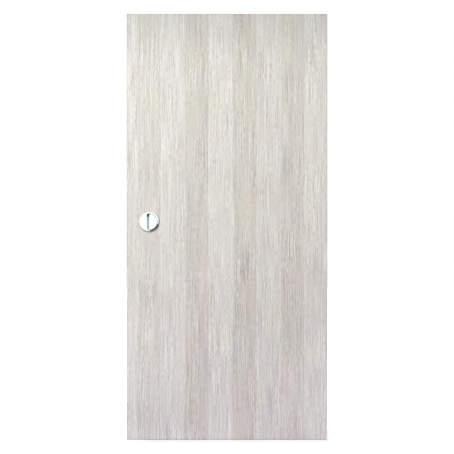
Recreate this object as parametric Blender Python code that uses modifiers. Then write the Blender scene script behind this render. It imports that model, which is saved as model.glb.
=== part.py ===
"""A flush sliding door leaf with a round half-moon flush pull on each face.

The leaf hangs from its top edge, so the origin is the middle of that edge.
+Z is up, the front face looks along -Y, and the leading edge with the pulls is at -X.
"""

import math

import bmesh
import bpy
from mathutils import Matrix, Vector

# The leaf as it is ordered
LEAF_WIDTH = 0.960
LEAF_HEIGHT = 2.040
LEAF_THICKNESS = 0.040

# How the leaf is built up
SKIN_THICKNESS = 0.004
STILE_WIDTH = 0.036
TOP_RAIL_HEIGHT = 0.080
BOTTOM_RAIL_HEIGHT = 0.060
BAND_THICKNESS = 0.002
BAND_ROUNDING = 0.0017
SKIN_ROUNDING = 0.0012
GLUE_LINE = 0.0003

# The groove along the bottom edge that runs over the floor guide
GROOVE_WIDTH = 0.008
GROOVE_DEPTH = 0.020

# The timber block that the pulls are let into: what it keeps beside, above and below their bores
BLOCK_SIDE_MARGIN = 0.024
BLOCK_END_MARGIN = 0.110

# The flush pull: heights stand out from the leaf's face, depths go in from it
PULL_BACKSET = 0.107
PULL_HEIGHT_ABOVE_BOTTOM = 1.046
PULL_RADIUS = 0.0465
PULL_SHEET = 0.0008
FLANGE_HEIGHT = 0.0030
FLANGE_ROUNDING = 0.0014
FLANGE_LAND = 0.0012
STEP_RUN = 0.0040
STEP_STRAIGHTNESS = 0.5
FACE_HEIGHT = 0.0050
FACE_LAND = 0.0003
MOUTH_ROUNDING = 0.0010

# Its half-moon recess: an arc, two rounded corners and a straight side whose wall slopes
RECESS_DEPTH = 0.0120
ARC_WALL_RUN = 0.0008
STRAIGHT_SIDE_OFFSET = 0.0105
STRAIGHT_WALL_RUN = 0.0085
CORNER_RADIUS = 0.0050
FLOOR_FILLET = 0.0030
SEAT_GAP = 0.0003
BORE_CLEARANCE = 0.0005

# How finely round shapes are faceted
BORE_SIDES = 48
RECESS_ARC_SIDES = 34
CORNER_SIDES = 4
STRAIGHT_SIDES = 18
ROUNDING_STEPS = 3
STEP_STEPS = 6
CUTTER_MARGIN = 0.010

HALF_WIDTH = LEAF_WIDTH / 2
HALF_THICKNESS = LEAF_THICKNESS / 2
BOTTOM_Z = -LEAF_HEIGHT
INNER_HALF_WIDTH = HALF_WIDTH - BAND_THICKNESS - GLUE_LINE
CORE_HALF_THICKNESS = HALF_THICKNESS - SKIN_THICKNESS - GLUE_LINE
STILE_INNER_X = INNER_HALF_WIDTH - STILE_WIDTH
RAIL_HALF_WIDTH = STILE_INNER_X - GLUE_LINE
PULL_X = -HALF_WIDTH + PULL_BACKSET
PULL_Z = BOTTOM_Z + PULL_HEIGHT_ABOVE_BOTTOM

STEP_OUTER_RADIUS = PULL_RADIUS - FLANGE_ROUNDING - FLANGE_LAND
FACE_RADIUS = STEP_OUTER_RADIUS - STEP_RUN
RECESS_RADIUS = FACE_RADIUS - FACE_LAND - MOUTH_ROUNDING
BORE_RADIUS = RECESS_RADIUS + PULL_SHEET + BORE_CLEARANCE
BORE_DEPTH = RECESS_DEPTH + PULL_SHEET + BORE_CLEARANCE


def clear_scene():
    for obj in list(bpy.data.objects):
        bpy.data.objects.remove(obj, do_unlink=True)


def new_collection(name):
    collection = bpy.data.collections.new(name)
    bpy.context.scene.collection.children.link(collection)
    return collection


def new_material(name, colour, roughness, metallic=0.0):
    material = bpy.data.materials.new(name)
    material.use_nodes = True
    shader = material.node_tree.nodes["Principled BSDF"]
    shader.inputs["Base Color"].default_value = (*colour, 1.0)
    shader.inputs["Roughness"].default_value = roughness
    shader.inputs["Metallic"].default_value = metallic
    return material


def add_object(name, bm, collection, material=None):
    mesh = bpy.data.meshes.new(name)
    bm.to_mesh(mesh)
    bm.free()
    obj = bpy.data.objects.new(name, mesh)
    collection.objects.link(obj)
    if material:
        mesh.materials.append(material)
    return obj


def box_bmesh(low, high):
    """A box between two corners."""
    low, high = Vector(low), Vector(high)
    bm = bmesh.new()
    bmesh.ops.create_cube(bm, size=1.0)
    bmesh.ops.transform(bm, matrix=Matrix.Diagonal((*(high - low), 1.0)), verts=bm.verts)
    bmesh.ops.translate(bm, vec=(low + high) / 2, verts=bm.verts)
    return bm


def round_edges(bm, chosen, radius, segments=3):
    """Rounds the edges whose middle the test picks."""
    edges = [e for e in bm.edges if chosen((e.verts[0].co + e.verts[1].co) / 2)]
    bmesh.ops.bevel(
        bm, geom=edges, offset=radius, segments=segments, profile=0.5, affect="EDGES"
    )


def make_cutter(name, bm, collection):
    cutter = add_object(name, bm, collection)
    cutter.hide_render = True
    cutter.display_type = "WIRE"
    return cutter


def cylinder_along_y(radius, low_y, high_y):
    """A round cutter for the bores, centred on the pulls."""
    bm = bmesh.new()
    bmesh.ops.create_cone(
        bm,
        cap_ends=True,
        segments=BORE_SIDES,
        radius1=radius,
        radius2=radius,
        depth=high_y - low_y,
    )
    bmesh.ops.rotate(bm, cent=(0, 0, 0), matrix=Matrix.Rotation(math.pi / 2, 3, "X"), verts=bm.verts)
    bmesh.ops.translate(bm, vec=(PULL_X, (low_y + high_y) / 2, PULL_Z), verts=bm.verts)
    return bm


def cut(obj, cutter):
    modifier = obj.modifiers.new(cutter.name, "BOOLEAN")
    modifier.operation = "DIFFERENCE"
    modifier.object = cutter
    modifier.solver = "EXACT"


def arc(centre, radius, start, end, steps):
    """Points on an arc, both ends included; angles in degrees from +X towards +Y."""
    angles = [math.radians(start + (end - start) * i / steps) for i in range(steps + 1)]
    return [(centre[0] + radius * math.cos(a), centre[1] + radius * math.sin(a)) for a in angles]


def build_skins(parts, material, cutters):
    """The two faced sheets. Each outer edge at top and bottom is eased, and each has a pull bore."""
    bore = make_cutter(
        "pull_bore_through",
        cylinder_along_y(
            BORE_RADIUS, -HALF_THICKNESS - CUTTER_MARGIN, HALF_THICKNESS + CUTTER_MARGIN
        ),
        cutters,
    )
    for name, side in (("front_skin", -1), ("rear_skin", 1)):
        outer = side * HALF_THICKNESS
        inner = side * (HALF_THICKNESS - SKIN_THICKNESS)
        bm = box_bmesh(
            (-INNER_HALF_WIDTH, min(outer, inner), BOTTOM_Z),
            (INNER_HALF_WIDTH, max(outer, inner), 0.0),
        )
        middle_z = BOTTOM_Z / 2
        round_edges(
            bm,
            lambda p, outer=outer: abs(p.y - outer) < GLUE_LINE
            and abs(p.z - middle_z) > LEAF_HEIGHT / 2 - GLUE_LINE,
            SKIN_ROUNDING,
        )
        skin = add_object(name, bm, parts, material)
        cut(skin, bore)


def build_frame(parts, timber, groove):
    """Stiles run the full height, and the rails fit between them."""
    for name, side in (("left_stile", -1), ("right_stile", 1)):
        ends = sorted((side * INNER_HALF_WIDTH, side * STILE_INNER_X))
        bm = box_bmesh(
            (ends[0], -CORE_HALF_THICKNESS, BOTTOM_Z), (ends[1], CORE_HALF_THICKNESS, 0.0)
        )
        cut(add_object(name, bm, parts, timber), groove)
    top = box_bmesh(
        (-RAIL_HALF_WIDTH, -CORE_HALF_THICKNESS, -TOP_RAIL_HEIGHT),
        (RAIL_HALF_WIDTH, CORE_HALF_THICKNESS, 0.0),
    )
    add_object("top_rail", top, parts, timber)
    bottom = box_bmesh(
        (-RAIL_HALF_WIDTH, -CORE_HALF_THICKNESS, BOTTOM_Z),
        (RAIL_HALF_WIDTH, CORE_HALF_THICKNESS, BOTTOM_Z + BOTTOM_RAIL_HEIGHT),
    )
    cut(add_object("bottom_rail", bottom, parts, timber), groove)


def build_inside(parts, timber, paper, cutters):
    """The block that the pulls are let into, and the infill notched round it."""
    reach = BORE_RADIUS + BLOCK_END_MARGIN
    block_low = Vector((-RAIL_HALF_WIDTH, -CORE_HALF_THICKNESS, PULL_Z - reach))
    block_high = Vector(
        (PULL_X + BORE_RADIUS + BLOCK_SIDE_MARGIN, CORE_HALF_THICKNESS, PULL_Z + reach)
    )
    block = add_object("pull_block", box_bmesh(block_low, block_high), parts, timber)
    bore_bottom = HALF_THICKNESS - BORE_DEPTH
    past_face = HALF_THICKNESS + CUTTER_MARGIN
    for name, ends in (("front", (-past_face, -bore_bottom)), ("rear", (bore_bottom, past_face))):
        cut(block, make_cutter(f"{name}_bore", cylinder_along_y(BORE_RADIUS, *ends), cutters))

    infill_bm = box_bmesh(
        (
            -RAIL_HALF_WIDTH,
            -CORE_HALF_THICKNESS,
            BOTTOM_Z + BOTTOM_RAIL_HEIGHT + GLUE_LINE,
        ),
        (RAIL_HALF_WIDTH, CORE_HALF_THICKNESS, -TOP_RAIL_HEIGHT - GLUE_LINE),
    )
    infill = add_object("core_infill", infill_bm, parts, paper)
    gap = Vector((GLUE_LINE, CUTTER_MARGIN, GLUE_LINE))
    past_stile = Vector((CUTTER_MARGIN, 0.0, 0.0))
    notch = box_bmesh(block_low - gap - past_stile, block_high + gap)
    cut(infill, make_cutter("block_notch", notch, cutters))


def build_edge_bands(parts, material, groove):
    """Edging down both long edges, with its outer corners rounded over."""
    for name, side in (("left_edge_band", -1), ("right_edge_band", 1)):
        outer = side * HALF_WIDTH
        inner = side * (HALF_WIDTH - BAND_THICKNESS)
        bm = box_bmesh(
            (min(outer, inner), -HALF_THICKNESS, BOTTOM_Z),
            (max(outer, inner), HALF_THICKNESS, 0.0),
        )
        round_edges(
            bm,
            lambda p, outer=outer: abs(p.x - outer) < GLUE_LINE
            and abs(p.y) > HALF_THICKNESS - GLUE_LINE,
            BAND_ROUNDING,
        )
        cut(add_object(name, bm, parts, material), groove)


def half_moon(grow=0.0, arc_in=0.0, straight_in=0.0):
    """The recess's outline, anticlockwise: its arc, a corner, its straight side, the other corner.

    It grows all round by one amount, or its arc and its straight side move in by their own.
    """
    radius = RECESS_RADIUS + grow - arc_in
    side_x = -STRAIGHT_SIDE_OFFSET - grow + straight_in
    corner = CORNER_RADIUS + grow
    corner_x = side_x + corner
    corner_y = math.sqrt((radius - corner) ** 2 - corner_x**2)
    turn = math.degrees(math.atan2(corner_y, corner_x))
    points = arc((0.0, 0.0), radius, -turn, turn, RECESS_ARC_SIDES)
    points += arc((corner_x, corner_y), corner, turn, 180.0, CORNER_SIDES)[1:]
    # points are closer together at the middle of the side, so the round flange is evenly faceted
    spread = math.atan2(corner_y, STRAIGHT_SIDE_OFFSET)
    for i in range(1, STRAIGHT_SIDES):
        share = math.tan(spread * (1 - 2 * i / STRAIGHT_SIDES)) / math.tan(spread)
        points.append((side_x, corner_y * share))
    points += arc((corner_x, -corner_y), corner, 180.0, 360.0 - turn, CORNER_SIDES)[:-1]
    return points


def circle_round(radius):
    """A circle with one point straight out from each point of the recess's outline."""
    return [(radius * x / math.hypot(x, y), radius * y / math.hypot(x, y)) for x, y in half_moon()]


def at_height(outline, height):
    return [(x, y, height) for x, y in outline]


def plate_loops():
    """From the foot of the flange in over the raised step and face, and down into the recess."""
    loops = [at_height(circle_round(PULL_RADIUS), SEAT_GAP)]
    flange_centre = (PULL_RADIUS - FLANGE_ROUNDING, FLANGE_HEIGHT - FLANGE_ROUNDING)
    for radius, height in arc(flange_centre, FLANGE_ROUNDING, 0.0, 90.0, ROUNDING_STEPS):
        loops.append(at_height(circle_round(radius), height))
    rise = FACE_HEIGHT - FLANGE_HEIGHT
    for i in range(STEP_STEPS + 1):
        share = i / STEP_STEPS
        eased = (1 - math.cos(math.pi * share)) / 2
        height = FLANGE_HEIGHT + rise * (eased + (share - eased) * STEP_STRAIGHTNESS)
        loops.append(at_height(circle_round(STEP_OUTER_RADIUS - share * STEP_RUN), height))
    mouth_centre = (MOUTH_ROUNDING, FACE_HEIGHT - MOUTH_ROUNDING)
    for grow, height in arc(mouth_centre, MOUTH_ROUNDING, 90.0, 180.0, ROUNDING_STEPS):
        loops.append(at_height(half_moon(grow), height))
    return loops


def cup_loops():
    """From just under the plate's rounded mouth down the walls and round the fillet to the floor."""
    top = FACE_HEIGHT - MOUTH_ROUNDING
    fillet_top = FLOOR_FILLET - RECESS_DEPTH
    slope = STRAIGHT_WALL_RUN / (top - fillet_top)
    loops = []
    for height in (top - SEAT_GAP, fillet_top):
        share = (top - height) / (top - fillet_top)
        outline = half_moon(0.0, ARC_WALL_RUN * share, STRAIGHT_WALL_RUN * share)
        loops.append(at_height(outline, height))
    for i in range(1, ROUNDING_STEPS + 2):
        angle = math.pi / 2 * i / (ROUNDING_STEPS + 1)
        inward = FLOOR_FILLET * (1 - math.cos(angle))
        along = FLOOR_FILLET * math.sin(angle)
        outline = half_moon(
            0.0, ARC_WALL_RUN + inward, STRAIGHT_WALL_RUN + slope * along + inward / 3
        )
        loops.append(at_height(outline, fillet_top - along))
    return loops


def add_pressing(name, loops, side, parts, metal, floor=False):
    """Sheet metal lofted through loops of matching points, and placed on the front or the rear."""
    bm = bmesh.new()
    rings = [[bm.verts.new(point) for point in loop] for loop in loops]
    for outer, inner in zip(rings, rings[1:]):
        for i in range(len(outer)):
            following = (i + 1) % len(outer)
            bm.faces.new((outer[i], outer[following], inner[following], inner[i]))
    if floor:
        bm.faces.new(rings[-1])
    obj = add_object(name, bm, parts, metal)
    obj.data.shade_smooth()
    obj.data.set_sharp_from_angle(angle=math.radians(40.0))
    sheet = obj.modifiers.new("sheet", "SOLIDIFY")
    sheet.thickness = PULL_SHEET
    sheet.offset = -1.0
    sheet.use_even_offset = True
    sheet.use_quality_normals = True
    # side is -1 on the front face and 1 on the rear, and the straight side stays towards -X
    obj.rotation_euler = (-side * math.pi / 2, 0.0, 0.0)
    obj.location = (PULL_X, side * HALF_THICKNESS, PULL_Z)


def build_pulls(parts, metal):
    for face, side in (("front", -1), ("rear", 1)):
        add_pressing(f"{face}_pull_plate", plate_loops(), side, parts, metal)
        add_pressing(f"{face}_pull_cup", cup_loops(), side, parts, metal, floor=True)


def main():
    clear_scene()
    parts = new_collection("sliding_door_leaf")
    cutters = new_collection("cutters")

    laminate = new_material("whitewashed_wood_laminate", (0.66, 0.63, 0.59), 0.55)
    edging = new_material("edging", (0.62, 0.60, 0.57), 0.5)
    timber = new_material("softwood", (0.62, 0.45, 0.27), 0.7)
    paper = new_material("paper_honeycomb", (0.50, 0.38, 0.24), 0.85)
    metal = new_material("satin_steel", (0.86, 0.86, 0.85), 0.25, 1.0)

    groove = make_cutter(
        "guide_groove",
        box_bmesh(
            (-HALF_WIDTH - CUTTER_MARGIN, -GROOVE_WIDTH / 2, BOTTOM_Z - CUTTER_MARGIN),
            (HALF_WIDTH + CUTTER_MARGIN, GROOVE_WIDTH / 2, BOTTOM_Z + GROOVE_DEPTH),
        ),
        cutters,
    )
    build_skins(parts, laminate, cutters)
    build_frame(parts, timber, groove)
    build_inside(parts, timber, paper, cutters)
    build_edge_bands(parts, edging, groove)
    build_pulls(parts, metal)


main()
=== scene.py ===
"""A pale wood-decor sliding door leaf with a round flush pull in each face, in a plain white studio."""

import math

import bpy
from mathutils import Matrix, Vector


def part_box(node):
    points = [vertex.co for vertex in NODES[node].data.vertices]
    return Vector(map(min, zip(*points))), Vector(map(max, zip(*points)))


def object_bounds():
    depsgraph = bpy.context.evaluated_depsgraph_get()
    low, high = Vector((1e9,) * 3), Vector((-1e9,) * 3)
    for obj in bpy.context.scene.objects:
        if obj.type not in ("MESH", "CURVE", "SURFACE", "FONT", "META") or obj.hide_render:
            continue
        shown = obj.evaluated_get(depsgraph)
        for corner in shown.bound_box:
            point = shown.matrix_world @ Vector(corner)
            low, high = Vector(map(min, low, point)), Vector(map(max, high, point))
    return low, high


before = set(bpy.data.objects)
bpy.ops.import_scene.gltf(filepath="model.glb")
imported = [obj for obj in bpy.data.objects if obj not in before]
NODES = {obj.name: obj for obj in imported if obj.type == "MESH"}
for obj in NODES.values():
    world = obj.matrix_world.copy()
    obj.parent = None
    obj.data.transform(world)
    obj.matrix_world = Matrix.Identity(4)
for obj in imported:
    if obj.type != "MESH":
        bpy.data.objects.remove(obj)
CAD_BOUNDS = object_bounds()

# The leaf and its front pull, in metres, as the CAD model has them
LEAF_LOW, LEAF_HIGH = CAD_BOUNDS
LEAF_HEIGHT = LEAF_HIGH.z - LEAF_LOW.z
LEAF_CENTRE = (LEAF_LOW + LEAF_HIGH) / 2
FRONT_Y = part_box("front_skin")[0].y
PLATE_LOW, PLATE_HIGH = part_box("front_pull_plate")
PULL_CENTRE = (PLATE_LOW + PLATE_HIGH) / 2
PULL_RADIUS = (PLATE_HIGH.x - PLATE_LOW.x) / 2

# The decor's printed boards: how wide they are, how far in the first joint lies, and their tones
BOARD_PITCH = 0.1147
FIRST_JOINT = 0.048
BOARD_TONES = (0.70, 0.51, 0.65, 0.30, 0.65, 0.25, 0.54, 0.29, 0.57)

# The tone that leaves a board as it is, and how strongly the others show
PLAIN_TONE = 0.42
BOARD_CONTRAST = 0.38

# How far the noises move on from board to board, and for each metre from face to face
BOARD_SHIFT = 7.31
FACE_SHIFT = 400.0

# How the grain strays from upright: how far in metres, features to the metre across and along, detail
WANDER = (0.030, 0.0, 1.6, 2.0)
RIPPLE = (0.012, 16.0, 14.0, 1.0)

# The decor's other noises: features to the metre across and along the boards, detail, roughness
CLOUDS = (8.0, 1.7, 3.0, 0.5)
HUES = (12.0, 4.5, 2.0, 0.5)
STREAKS = (85.0, 1.3, 2.0, 0.55)
LONG_GRAIN = (320.0, 5.0, 1.0, 0.5)
SHORT_GRAIN = (320.0, 38.0, 3.0, 0.65)
PORES = (900.0, 34.0, 2.0, 0.6)
FIGURE = (15.0, 3.5, 1.0, 0.5)
JOINT_LINES = (0.0, 1.2, 1.0, 0.5)

# How far the lightness swings with the clouds, the streaks and the grain, and the grain's limit
CLOUD_SWING = 0.16
STREAK_SWING = 0.33
LONG_GRAIN_SWING = 1.45
SHORT_GRAIN_SWING = 1.45
GRAIN_LIMIT = 0.26

# The grain's strength in plain and in figured wood, and how sharply the one turns into the other
GRAIN_STRENGTH = (0.50, 1.40)
FIGURE_SWING = 3.2

# The pale line beside some joints, and the level of its noise from which it shows
JOINT_LINE_WIDTH = 0.008
JOINT_LINE_LIGHT = 0.13
JOINT_LINE_FROM = 0.44

# The decor's colour from the bottom to the top, with painted shade that darkens it near the top, and how
# far it drifts
DECOR_BY_HEIGHT = (
    (0.00, (0.659, 0.607, 0.609)),
    (0.35, (0.655, 0.612, 0.576)),
    (0.80, (0.666, 0.639, 0.578)),
    (0.89, (0.653, 0.629, 0.573)),
    (1.00, (0.522, 0.502, 0.461)),
)
HUE_DRIFT = 0.085

# How much more a board's tone shows in red and in blue than in green, at the bottom and at the top
BOARD_RED = (-0.31, -0.11)
BOARD_BLUE = (0.05, 0.24)

# Darkening along the bottom and top edges, and a painted shadow round the pulls, most at the lower right
EDGE_DARK_REACH = 0.006
BOTTOM_DARKENING = 0.62
TOP_DARKENING = 0.28
PULL_PAINTED_SHADOW = 0.52
PAINTED_SHADOW_REACH = 0.0080
PAINTED_SHADOW_FADE = 0.0050
PAINTED_SHADOW_ALL_ROUND = 0.55
PAINTED_SHADOW_RIGHT = 0.50
PAINTED_SHADOW_DOWN = 0.87

# How light the decor is before its swings, on the faces and on the edging, which has no boards
FACE_LEVEL = 1.0
EDGING_LEVEL = 0.92

# The decor's raw edges: how far the surface has turned up or down where they begin, and how sharply
RAW_EDGE_TILT = 0.22
RAW_EDGE_SHARPNESS = 8.0

# Colours by the level of a noise
FIBREBOARD = ((0.3, (0.34, 0.25, 0.16)), (0.7, (0.46, 0.36, 0.24)))
SOFTWOOD = ((0.0, (0.62, 0.46, 0.29)), (0.55, (0.53, 0.375, 0.22)), (1.0, (0.36, 0.22, 0.11)))
CARDBOARD = ((0.3, (0.44, 0.32, 0.20)), (0.7, (0.56, 0.43, 0.28)))
STEEL = ((0.25, (0.600, 0.650, 0.625)), (0.75, (0.670, 0.715, 0.690)))

# Noises that are alike all ways: features to the metre, detail
FIBREBOARD_FLECKS = (900.0, 3.0)
CARDBOARD_FLECKS = (600.0, 4.0)
SMUDGES = (45.0, 3.0)

# Noises drawn out in lines: features to the metre across and along them, detail
SOFTWOOD_DRIFT = (9.0, 1.2, 2.0)
SOFTWOOD_FIBRES = (1400.0, 40.0, 3.0)
BRUSH = (5000.0, 60.0, 3.0)

# Softwood's growth rings: where the pith is, rings to the metre, how far they stray, their share
PITH = (-0.035, -0.060)
RINGS = 330.0
RING_DRIFT = 0.02
RING_SHARE = 0.7

# The ends of each roughness, and each bump's strength and depth in metres
DECOR_ROUGHNESS = (0.375, 0.625)
SOFTWOOD_ROUGHNESS = (0.62, 0.82)
CARDBOARD_ROUGHNESS = (0.75, 0.90)
STEEL_ROUGHNESS = (0.08, 0.18)
DECOR_BUMP = (0.25, 0.0004)
SOFTWOOD_BUMP = (0.3, 0.0003)
CARDBOARD_BUMP = (0.3, 0.001)
STEEL_BUMP = (0.06, 0.00005)

# The pores' share of the decor's bumps, beside the short grain's
PORE_SHARE = 0.5

# Smooth shading of the pulls
SHARP_ANGLE = math.radians(35.0)
MERGE_DISTANCE = 0.00001

# The studio: light from all round, and a floor whose glow by its distance is for the lens alone
WHITE = (1.0, 1.0, 1.0, 1.0)
BLACK = (0.0, 0.0, 0.0, 1.0)
SKY_LIGHT = 0.25
FLOOR_GAP = 0.010
FLOOR_SIZE = 60.0
FLOOR_COLOUR = (0.62, 0.62, 0.62, 1.0)
FLOOR_ROUGHNESS = 0.9
FLOOR_GLOW = (0.62, 1.0)
FLOOR_GLOW_REACH = (2.0, 4.5)

# The lamps: name, place, size and watts
LAMPS = (
    ("key", (-4.4, -3.2, 5.9), 1.6, 960.0),
    ("rear", (4.0, 4.5, 1.0), 1.6, 260.0),
)

# The cards: name, radius, brightness, and the ends of their tilt and of their turn in degrees
SOFTBOX_RADIUS = 2.60
SOFTBOX_LIGHT = 1.6
FLAG_RADIUS = 1.00
CARDS = (
    ("front_softbox", SOFTBOX_RADIUS, SOFTBOX_LIGHT, (0.0, 24.0), (0.0, 360.0)),
    ("left_softbox", SOFTBOX_RADIUS, SOFTBOX_LIGHT, (24.0, 86.0), (10.0, 268.0)),
    ("low_right_flag", FLAG_RADIUS, 0.0, (11.0, 76.0), (-87.0, -13.0)),
    ("low_flag", FLAG_RADIUS, 0.0, (62.0, 88.5), (-100.0, -75.0)),
)
CARD_ROWS = 8
CARD_COLUMNS = 24

# The photo's frame: how tall a strip of the leaf's plane it takes in
FRAME_HEIGHT = 2.1741
LENS_MM = 200.0
SENSOR_MM = 36.0


class Value:
    """A number or colour that a shader works out at each point. Each sum with it adds a node."""

    def __init__(self, graph, socket):
        self.graph = graph
        self.socket = socket

    def math(self, operation, *others):
        return self.graph.math(operation, self, *others)

    def __add__(self, other):
        return self.math("ADD", other)

    def __sub__(self, other):
        return self.math("SUBTRACT", other)

    def __rsub__(self, other):
        return self.graph.math("SUBTRACT", other, self)

    def __mul__(self, other):
        return self.math("MULTIPLY", other)

    def __truediv__(self, other):
        return self.math("DIVIDE", other)

    def __pow__(self, other):
        return self.math("POWER", other)

    def clamped(self):
        """The same value, kept between 0 and 1 by the node that works it out."""
        self.socket.node.use_clamp = True
        return self


class Graph:
    """The nodes of a material or a world, made with short calls."""

    def __init__(self, owner):
        owner.use_nodes = True
        self.owner = owner
        self.tree = owner.node_tree

    def put(self, value, socket):
        """Links a Value to a socket, or sets the number or colour that it holds."""
        if isinstance(value, Value):
            self.tree.links.new(value.socket, socket)
        else:
            socket.default_value = value

    def fill(self, node, inputs):
        """Puts values into a node's inputs, by their names."""
        for name, value in inputs.items():
            self.put(value, node.inputs[name])

    def node(self, kind, **settings):
        node = self.tree.nodes.new(kind)
        for key, value in settings.items():
            setattr(node, key, value)
        return node

    def through(self, node, values, output=0):
        """One output of a node, with values put into its first inputs."""
        for value, socket in zip(values, node.inputs):
            self.put(value, socket)
        return Value(self, node.outputs[output])

    def source(self, kind, output):
        """One output of a new node that takes no input."""
        return Value(self, self.node(kind).outputs[output])

    def math(self, operation, *values):
        return self.through(self.node("ShaderNodeMath", operation=operation), values)

    def vector(self, x, y, z):
        return self.through(self.node("ShaderNodeCombineXYZ"), (x, y, z))

    def split(self, vector):
        """A vector's x, y and z."""
        node = self.node("ShaderNodeSeparateXYZ")
        self.put(vector, node.inputs[0])
        return [Value(self, socket) for socket in node.outputs]

    def map_range(self, value, before, after, interpolation="LINEAR"):
        """A value moved from one range to another, each given by its two ends."""
        node = self.node("ShaderNodeMapRange", interpolation_type=interpolation)
        return self.through(node, (value, *before, *after))

    def noise(self, place, scale=1.0, detail=2.0, roughness=0.5, output="Fac"):
        node = self.node("ShaderNodeTexNoise")
        self.fill(node, {"Vector": place, "Scale": scale, "Detail": detail, "Roughness": roughness})
        return Value(self, node.outputs[output])

    def ramp(self, value, stops, interpolation="LINEAR"):
        """A colour or a level that follows a value, from stops of a place and a colour or level."""
        node = self.node("ShaderNodeValToRGB")
        node.color_ramp.interpolation = interpolation
        elements = node.color_ramp.elements
        while len(elements) < len(stops):
            elements.new(0.5)
        for element, (place, shade) in zip(elements, stops):
            colour = shade if isinstance(shade, tuple) else (shade, shade, shade)
            element.position = place
            element.color = (*colour, 1.0)
        return self.through(node, (value,))

    def mix(self, factor, a, b, blend="MIX"):
        """Two colours mixed. The node has sockets of every type, and these are its colour ones."""
        node = self.node("ShaderNodeMix", data_type="RGBA", blend_type=blend)
        for value, index in ((factor, 0), (a, 6), (b, 7)):
            self.put(value, node.inputs[index])
        return Value(self, node.outputs[2])

    def multiply(self, a, b):
        """Two colours multiplied channel by channel."""
        return self.through(self.node("ShaderNodeVectorMath", operation="MULTIPLY"), (a, b))


class MaterialGraph(Graph):
    """A material's nodes, which end in one Principled shader."""

    def __init__(self, name):
        super().__init__(bpy.data.materials.new(name))
        self.shader = self.tree.nodes["Principled BSDF"]

    def position(self):
        """The point's place on the leaf, in metres, as x, y and z."""
        return self.split(self.source("ShaderNodeTexCoord", "Object"))

    def finish(self, colour, roughness, height, bump):
        """Gives the material its colour, roughness and bumps."""
        node = self.node("ShaderNodeBump")
        strength, depth = bump
        self.fill(node, {"Strength": strength, "Distance": depth, "Height": height})
        normal = Value(self, node.outputs["Normal"])
        self.fill(self.shader, {"Base Color": colour, "Roughness": roughness, "Normal": normal})
        return self.owner


def swing(noise, amount):
    """A noise as a change up or down."""
    return (noise - 0.5) * amount


def between(ends, share):
    """What lies part of the way from one end to the other."""
    return share * (ends[1] - ends[0]) + ends[0]


def length(a, b):
    """The length of the way that goes a one way and b at right angles to it."""
    return (a**2.0 + b**2.0) ** 0.5


def from_pull(x, z):
    """How far a point lies to the right of the pulls' middle and above it."""
    return x - PULL_CENTRE.x, z - PULL_CENTRE.z


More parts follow.
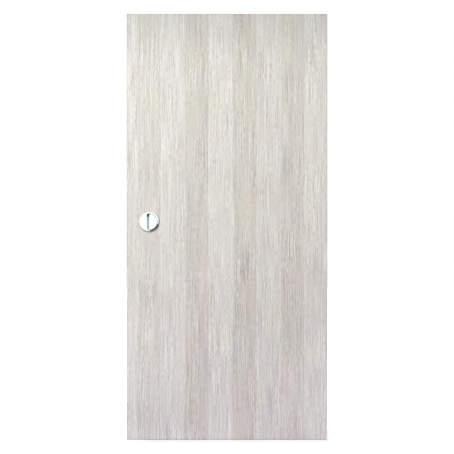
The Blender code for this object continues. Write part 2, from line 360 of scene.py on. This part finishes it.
class Decor(MaterialGraph):
    """Whitewashed wood decor. Each of its boards is cut from another place in the tree."""

    def __init__(self, name):
        super().__init__(name)
        self.x, self.y, self.z = self.position()
        self.above_bottom = self.z - LEAF_LOW.z
        self.height_share = self.above_bottom / LEAF_HEIGHT
        self.boards_across = (self.x - (LEAF_LOW.x + FIRST_JOINT)) / BOARD_PITCH + 1.0
        self.board = self.boards_across.math("FLOOR")
        self.shift = self.board * BOARD_SHIFT
        self.side = self.y * FACE_SHIFT
        self.bent_x = self.x + (self.stray(*WANDER) + self.stray(*RIPPLE))

    def stray(self, reach, across, along, detail):
        """How far the grain strays sideways."""
        place = self.vector(self.x * across + self.shift, self.side, self.z * along)
        return self.noise(place, detail=detail) * reach

    def stretched(self, across, along, detail, roughness, x=None, output="Fac"):
        """Noise drawn out along the boards, which bends with the grain unless x is given."""
        x = x or self.bent_x
        place = self.vector(x * across + self.shift, self.side, self.z * along + self.shift)
        return self.noise(place, detail=detail, roughness=roughness, output=output)

    def grain(self, short_grain):
        """Fine lines, none far darker or paler than the rest, in patches with plainer wood between."""
        long_grain = self.stretched(*LONG_GRAIN)
        lines = swing(long_grain, LONG_GRAIN_SWING) + swing(short_grain, SHORT_GRAIN_SWING)
        even = (lines / GRAIN_LIMIT).math("TANH") * GRAIN_LIMIT
        figure = swing(self.stretched(*FIGURE, x=self.x), FIGURE_SWING) + 0.5
        return even * between(GRAIN_STRENGTH, figure.clamped())

    def board_tone(self):
        """How much lighter or darker each board is than the plain decor."""
        count = len(BOARD_TONES)
        stops = [(i / count, tone) for i, tone in enumerate(BOARD_TONES)]
        tone = self.ramp((self.board + 0.5) / count, stops, "CONSTANT")
        return (tone - PLAIN_TONE) * BOARD_CONTRAST

    def joint_line(self):
        """A thin pale line that runs down beside some joints between boards."""
        across = self.boards_across.math("FRACT")
        near_joint = (1.0 - across * (BOARD_PITCH / JOINT_LINE_WIDTH)).clamped()
        shown = self.stretched(*JOINT_LINES).math("GREATER_THAN", JOINT_LINE_FROM)
        return near_joint * shown * JOINT_LINE_LIGHT

    def edge_darkening(self, distance, amount):
        """Darkens the last millimetres before an edge."""
        return (1.0 - distance / EDGE_DARK_REACH).clamped() * amount

    def pull_painted_shadow(self):
        """A painted shadow: a dark ring round each pull, most below it and to its right."""
        right, up = from_pull(self.x, self.z)
        distance = length(right, up)
        nearness = ((PULL_RADIUS + PAINTED_SHADOW_REACH - distance) / PAINTED_SHADOW_FADE).clamped()
        towards = right * PAINTED_SHADOW_RIGHT - up * PAINTED_SHADOW_DOWN
        share = (towards / distance + PAINTED_SHADOW_ALL_ROUND).clamped()
        return nearness * share * PULL_PAINTED_SHADOW

    def tint(self):
        """The colour at each height, with painted shade near the top and a soft drift."""
        base = self.ramp(self.height_share, DECOR_BY_HEIGHT)
        hue = self.stretched(*HUES, output="Color")
        return self.mix(HUE_DRIFT, base, self.mix(1.0, base, hue, "OVERLAY"))

    def channels(self, level, tone):
        """The level in red, green and blue. Darker boards are yellower at the top, redder below."""
        red = between(BOARD_RED, self.height_share)
        blue = between(BOARD_BLUE, self.height_share**2.0)
        return self.vector(level + tone * red, level, level + tone * blue)

    def with_raw_edges(self, colour):
        """The decor ends where the panel's edge turns up or down, and the raw board shows."""
        upright = self.split(self.source("ShaderNodeNewGeometry", "Normal"))[2].math("ABSOLUTE")
        raw = ((upright - RAW_EDGE_TILT) * RAW_EDGE_SHARPNESS).clamped()
        flecks = self.noise(self.vector(self.x, self.y, self.z), *FIBREBOARD_FLECKS)
        return self.mix(raw, colour, self.ramp(flecks, FIBREBOARD))


def decor_material(name, boards=True):
    """The decor of the faces or, without boards, of the edging."""
    g = Decor(name)
    streak = g.stretched(*STREAKS)
    short_grain = g.stretched(*SHORT_GRAIN)
    level = g.grain(short_grain) + swing(streak, STREAK_SWING) + swing(g.stretched(*CLOUDS), CLOUD_SWING)
    level = level - g.edge_darkening(g.above_bottom, BOTTOM_DARKENING) - g.edge_darkening(LEAF_HIGH.z - g.z, TOP_DARKENING)
    if boards:
        tone = g.board_tone()
        level = level + tone + g.joint_line() - g.pull_painted_shadow() + FACE_LEVEL
        colour = g.with_raw_edges(g.multiply(g.tint(), g.channels(level, tone)))
    else:
        level = level + EDGING_LEVEL
        colour = g.multiply(g.tint(), g.vector(level, level, level))
    height = g.stretched(*PORES) * PORE_SHARE + short_grain * (1.0 - PORE_SHARE)
    return g.finish(colour, between(DECOR_ROUGHNESS, streak), height, DECOR_BUMP)


def softwood_material(name, along):
    """Planed softwood with growth rings that run along one axis: 0 for x, 2 for z."""
    g = MaterialGraph(name)
    axes = g.position()
    run = axes.pop(along)
    first, second = axes

    def lines(across, along_run, detail):
        return g.noise(g.vector(first * across, second * across, run * along_run), detail=detail)

    radius = length(first - PITH[0], second - PITH[1]) + lines(*SOFTWOOD_DRIFT) * RING_DRIFT
    rings = (radius * RINGS).math("FRACT")
    fibres = lines(*SOFTWOOD_FIBRES)
    shade = rings**3.0 * RING_SHARE + fibres * (1.0 - RING_SHARE)
    return g.finish(g.ramp(shade, SOFTWOOD), between(SOFTWOOD_ROUGHNESS, fibres), shade, SOFTWOOD_BUMP)


def cardboard_material(name):
    """Brown board, for the core that is never seen."""
    g = MaterialGraph(name)
    flecks = g.noise(g.vector(*g.position()), *CARDBOARD_FLECKS)
    return g.finish(g.ramp(flecks, CARDBOARD), between(CARDBOARD_ROUGHNESS, flecks), flecks, CARDBOARD_BUMP)


def steel_material(name, turned):
    """Satin steel, brushed round the pull's axis or straight up the plate."""
    g = MaterialGraph(name)
    x, y, z = g.position()
    right, up = from_pull(x, z)
    across, along, detail = BRUSH
    if turned:
        lines = g.vector(length(right, up) * across, 0.0, 0.0)
    else:
        lines = g.vector(right * across, 0.0, up * along)
    brush = g.noise(lines, detail=detail)
    smudges = g.noise(g.vector(x, y, z), *SMUDGES)
    g.fill(g.shader, {"Metallic": 1.0})
    roughness = between(STEEL_ROUGHNESS, (brush + smudges) / 2.0)
    return g.finish(g.ramp(brush, STEEL), roughness, brush, STEEL_BUMP)


def dress_nodes():
    """Gives each piece of the CAD model its material."""
    decor = decor_material("whitewashed_decor")
    edging = decor_material("decor_edging", boards=False)
    upright = softwood_material("softwood_upright", 2)
    lengthwise = softwood_material("softwood_lengthwise", 0)
    cardboard = cardboard_material("cardboard")
    turned = steel_material("turned_steel", True)
    straight = steel_material("brushed_steel", False)
    for material, names in (
        (decor, ("front_skin", "rear_skin")),
        (edging, ("left_edge_band", "right_edge_band")),
        (upright, ("left_stile", "right_stile", "pull_block")),
        (lengthwise, ("top_rail", "bottom_rail")),
        (cardboard, ("core_infill",)),
        (turned, ("front_pull_cup", "rear_pull_cup")),
        (straight, ("front_pull_plate", "rear_pull_plate")),
    ):
        for name in names:
            slots = NODES[name].data.materials
            slots.clear()
            slots.append(material)


def smoothing_group():
    """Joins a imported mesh's split corners and shades it smooth, apart from its sharp edges."""
    group = bpy.data.node_groups.new("smooth_pressing", "GeometryNodeTree")
    group.interface.new_socket("Geometry", in_out="INPUT", socket_type="NodeSocketGeometry")
    group.interface.new_socket("Geometry", in_out="OUTPUT", socket_type="NodeSocketGeometry")
    last = group.nodes.new("NodeGroupInput").outputs[0]

    def then(kind):
        nonlocal last
        node = group.nodes.new(kind)
        group.links.new(last, node.inputs[0])
        last = node.outputs[0]
        return node

    then("GeometryNodeRemoveAttribute").inputs["Name"].default_value = "custom_normal"
    then("GeometryNodeMergeByDistance").inputs["Distance"].default_value = MERGE_DISTANCE
    then("GeometryNodeSetShadeSmooth")
    crease = then("GeometryNodeSetShadeSmooth")
    crease.domain = "EDGE"
    crease.inputs["Shade Smooth"].default_value = False
    angle = group.nodes.new("GeometryNodeInputMeshEdgeAngle")
    steep = group.nodes.new("FunctionNodeCompare")
    steep.operation = "GREATER_THAN"
    steep.inputs[1].default_value = SHARP_ANGLE
    group.links.new(angle.outputs["Unsigned Angle"], steep.inputs[0])
    group.links.new(steep.outputs[0], crease.inputs["Selection"])
    group.links.new(last, group.nodes.new("NodeGroupOutput").inputs[0])
    return group


def smooth_pulls():
    """Shades both pulls smooth, as pressed sheet is."""
    group = smoothing_group()
    for side in ("front", "rear"):
        for part in ("cup", "plate"):
            obj = NODES[f"{side}_pull_{part}"]
            obj.modifiers.new("smooth", "NODES").node_group = group
            obj.modifiers.new("weigh_normals", "WEIGHTED_NORMAL").keep_sharp = True


def seen_by_lens(g):
    """1 for rays from the camera, a reflection or a clear material, and 0 for the rest."""
    total = g.source("ShaderNodeLightPath", "Is Camera Ray")
    for name in ("Is Glossy Ray", "Is Transmission Ray"):
        total = (total + g.source("ShaderNodeLightPath", name)).clamped()
    return total


def make_world():
    """White to the lens, and a soft light on everything else."""
    world = bpy.data.worlds.new("studio")
    bpy.context.scene.world = world
    g = Graph(world)
    strength = g.map_range(seen_by_lens(g), (0.0, 1.0), (SKY_LIGHT, 1.0))
    g.fill(g.tree.nodes["Background"], {"Color": WHITE, "Strength": strength})


def make_floor():
    """A pale floor. Further out, where the lamps fade, it is as white as the background."""
    bpy.ops.mesh.primitive_plane_add(size=FLOOR_SIZE, location=(0.0, 0.0, LEAF_LOW.z - FLOOR_GAP))
    floor = bpy.context.object
    floor.name = "studio_floor"
    g = MaterialGraph("pale_floor")
    place = g.source("ShaderNodeTexCoord", "Object")
    distance = g.through(g.node("ShaderNodeVectorMath", operation="LENGTH"), (place,), "Value")
    glow = g.map_range(distance, FLOOR_GLOW_REACH, FLOOR_GLOW, "SMOOTHSTEP")
    g.fill(g.shader, {
        "Base Color": FLOOR_COLOUR,
        "Roughness": FLOOR_ROUGHNESS,
        "Specular IOR Level": 0.0,
        "Emission Color": WHITE,
        "Emission Strength": seen_by_lens(g) * glow,
    })
    floor.data.materials.append(g.owner)


def add_object(name, data):
    obj = bpy.data.objects.new(name, data)
    bpy.context.scene.collection.objects.link(obj)
    return obj


def make_card(name, radius, brightness, tilts, turns):
    """A curved studio card round the pull that only reflections see, white or dark.

    It tilts away from straight ahead of the pull, and turns from the leaf's trailing side upwards.
    """

    def steps(ends, count):
        """Angles in even steps from one end to the other, in radians."""
        return [math.radians(between(ends, i / count)) for i in range(count + 1)]

    points = []
    for tilt in steps(tilts, CARD_ROWS):
        for turn in steps(turns, CARD_COLUMNS):
            points.append((
                PULL_CENTRE.x + radius * math.sin(tilt) * math.cos(turn),
                FRONT_Y - radius * math.cos(tilt),
                PULL_CENTRE.z + radius * math.sin(tilt) * math.sin(turn),
            ))
    width = CARD_COLUMNS + 1
    faces = [
        (i * width + j, i * width + j + 1, (i + 1) * width + j + 1, (i + 1) * width + j)
        for i in range(CARD_ROWS)
        for j in range(CARD_COLUMNS)
    ]
    mesh = bpy.data.meshes.new(name)
    mesh.from_pydata(points, [], faces)
    g = MaterialGraph(name)
    g.fill(g.shader, {
        "Base Color": BLACK,
        "Specular IOR Level": 0.0,
        "Emission Color": WHITE,
        "Emission Strength": brightness,
    })
    mesh.materials.append(g.owner)
    card = add_object(name, mesh)
    card.visible_camera = False
    card.visible_diffuse = False
    card.visible_shadow = False
    card.visible_transmission = False
    card.visible_volume_scatter = False


def aim(obj, target):
    obj.rotation_euler = (target - obj.location).to_track_quat("-Z", "Y").to_euler()


def make_lamp(name, place, size, watts):
    """A square lamp aimed at the leaf's middle, which reflections don't see."""
    data = bpy.data.lights.new(name, "AREA")
    data.shape = "SQUARE"
    data.size = size
    data.energy = watts
    lamp = add_object(name, data)
    lamp.location = place
    lamp.visible_glossy = False
    aim(lamp, LEAF_CENTRE)


def make_camera():
    """Straight in front of the leaf, as far off as its lens needs for the photo's frame."""
    data = bpy.data.cameras.new("camera")
    data.lens = LENS_MM
    data.sensor_width = SENSOR_MM
    camera = add_object("camera", data)
    distance = FRAME_HEIGHT * LENS_MM / SENSOR_MM
    camera.location = (0.0, FRONT_Y - distance, LEAF_CENTRE.z)
    aim(camera, LEAF_CENTRE)
    bpy.context.scene.camera = camera


dress_nodes()
smooth_pulls()
make_world()
make_floor()
for lamp in LAMPS:
    make_lamp(*lamp)
for card in CARDS:
    make_card(*card)
make_camera()
bpy.context.scene.view_settings.view_transform = "Standard"
